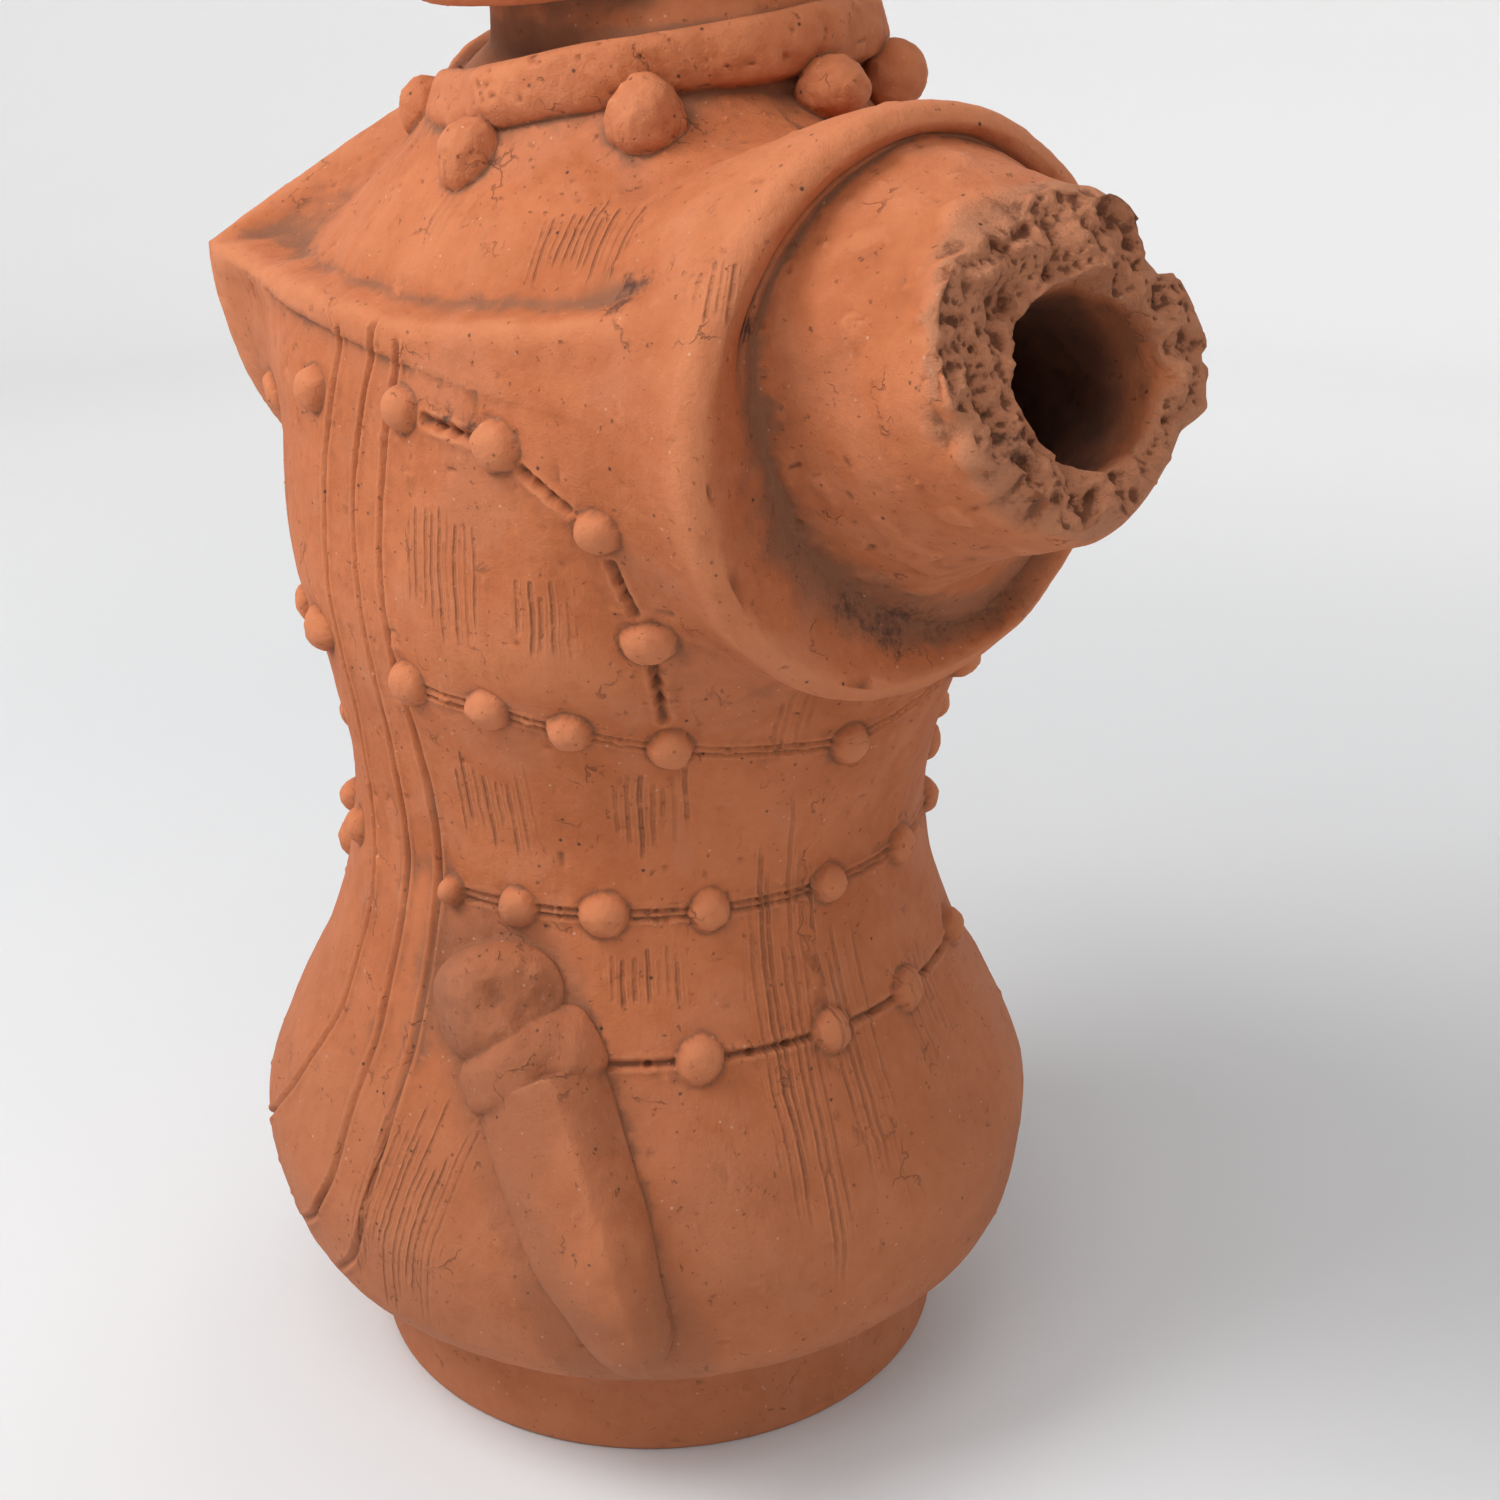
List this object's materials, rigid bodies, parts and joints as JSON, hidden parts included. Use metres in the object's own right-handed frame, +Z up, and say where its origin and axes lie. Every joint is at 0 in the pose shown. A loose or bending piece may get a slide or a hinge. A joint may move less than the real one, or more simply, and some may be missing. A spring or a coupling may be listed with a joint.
{
  "type": "haniwa figure",
  "caption": "Hollow terracotta haniwa figure of a standing warrior with a flared skirt, ringed arm openings, a bead necklace and a short sword; both arms are broken stubs.",
  "frame": {"origin": "on the ground, below the middle of the figure's whole width and depth; the middle of the base ring is 11 mm towards the figure's right (-X) and 2 mm towards its back (+Y) from it", "axes": "+Z up, the figure faces -Y, +X is its own left side"},
  "size_m": [0.2962, 0.1988, 0.46],
  "materials": {
    "terracotta": "unglazed fired clay, smoothed by hand, with grey dirt in the hollows"
  },
  "bodies": {
    "root": {"haniwa_figure": "terracotta"}
  },
  "joints": []
}
